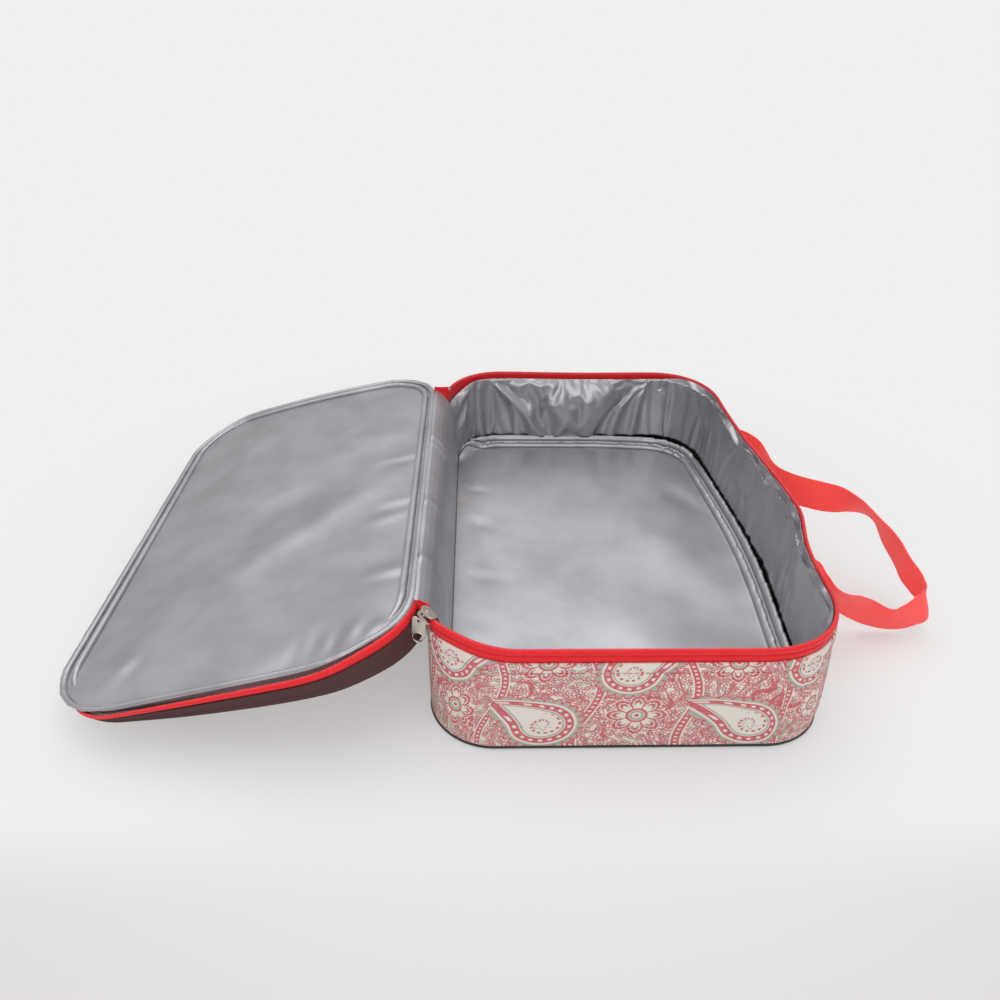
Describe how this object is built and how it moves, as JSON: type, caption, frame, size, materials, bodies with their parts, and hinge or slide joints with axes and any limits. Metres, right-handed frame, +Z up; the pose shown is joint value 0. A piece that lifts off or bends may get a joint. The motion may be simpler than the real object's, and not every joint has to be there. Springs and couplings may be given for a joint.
{
  "type": "insulated lunch bag",
  "caption": "Shallow rectangular insulated food bag with rounded corners, zip-round hinged lid lying open, silver lining and a webbing loop handle.",
  "frame": {"origin": "Middle of the tray's flat underside, on the table.", "axes": "+Z up, +X from the hinge side towards the handle side, +Y along the hinge towards the rear of the picture."},
  "size_m": [0.6323, 0.4066, 0.0886],
  "materials": {
    "printed_fabric": "matte",
    "black_fabric": "matte",
    "silver_lining": "satin",
    "white_foam": "matte",
    "stiffener_board": "matte",
    "red_zip": "satin",
    "red_webbing": "matte",
    "nickel": "satin"
  },
  "bodies": {
    "base": {"bottom_panel": "black_fabric", "bottom_binding": "black_fabric", "base_board": "stiffener_board", "floor_foam": "white_foam", "floor_liner": "silver_lining", "floor_welt_outer": "silver_lining", "floor_welt_inner": "silver_lining", "wall_fabric": "printed_fabric", "wall_foam": "white_foam", "wall_liner": "silver_lining", "zip_tape_tray": "red_zip", "zip_coil_tray": "red_zip", "zip_bottom_stop": "nickel", "zip_top_stop_tray": "nickel", "hinge_gusset": "printed_fabric", "hinge_liner": "silver_lining", "handle_end_front": "red_webbing", "handle_end_rear": "red_webbing"},
    "lid": {"lid_panel_fabric": "printed_fabric", "lid_binding": "black_fabric", "lid_lip_fabric": "black_fabric", "lid_lip_foam": "white_foam", "lid_foam": "white_foam", "lid_lip_liner": "silver_lining", "lid_liner": "silver_lining", "lid_welt_outer": "silver_lining", "lid_welt_inner": "silver_lining", "zip_tape_lid": "red_zip", "zip_coil_lid": "red_zip", "zip_top_stop_lid": "nickel"},
    "handle": {"handle_strap": "red_webbing"},
    "slider": {"slider_body": "nickel"},
    "pull": {"pull_tab": "nickel"}
  },
  "joints": [
    {"name": "lid_hinge", "type": "hinge", "parent": "base", "child": "lid", "pos_m": [-0.132, 0, 0.084], "axis": [0, 1, 0], "range_deg": [0, 194.67], "deforming": ["hinge_gusset", "hinge_liner"]},
    {"name": "slider_travel", "type": "hinge", "parent": "base", "child": "slider", "pos_m": [-0.072, -0.1455, 0.084], "axis": [0, 0, 1], "range_deg": [0, 60]},
    {"name": "pull_swing", "type": "hinge", "parent": "slider", "child": "pull", "pos_m": [-0.1284, -0.17061, 0.084], "axis": [-0.4067, 0.9135, 0], "range_deg": [0, 170]},
    {"name": "handle_swing", "type": "hinge", "parent": "base", "child": "handle", "pos_m": [0.12966, 0, 0.0745], "axis": [0, -1, 0], "range_deg": [0, 55]}
  ]
}
